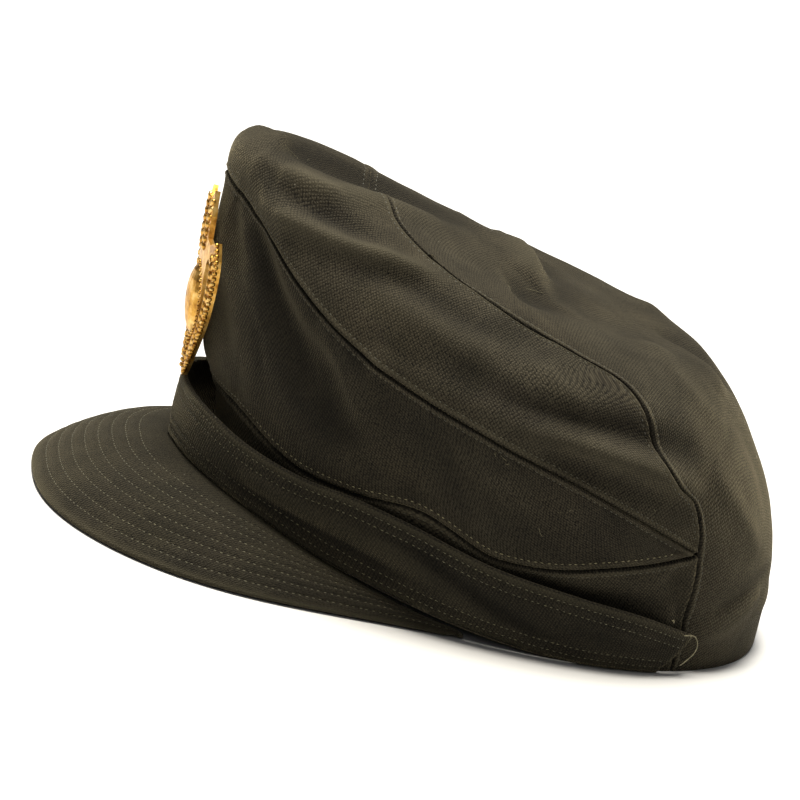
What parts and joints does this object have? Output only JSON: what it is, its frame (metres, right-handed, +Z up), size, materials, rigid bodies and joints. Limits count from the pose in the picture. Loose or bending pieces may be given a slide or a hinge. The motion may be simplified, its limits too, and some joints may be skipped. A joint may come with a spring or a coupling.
{
  "type": "peaked cap",
  "caption": "Soft dark olive wool cap with a slouched crown that rises to the front, a stitched cloth peak, a cloth chin strap across the front and a gilt badge.",
  "frame": {"origin": "centre of the cap's bounding box, on the plane it rests on", "axes": "the front faces -Y, the wearer's left is +X and +Z is up"},
  "size_m": [0.1744, 0.261, 0.1357],
  "materials": {
    "band_cloth": "matt",
    "crown_cloth": "matt",
    "peak_cloth": "matt",
    "strap_cloth": "matt",
    "gilt": "bright gilt"
  },
  "bodies": {
    "root": {"band": "band_cloth", "crown_front_panel": "crown_cloth", "crown_top_panel": "crown_cloth", "crown_back_panel": "crown_cloth", "peak": "peak_cloth", "strap": "strap_cloth", "badge": "gilt"}
  },
  "joints": []
}
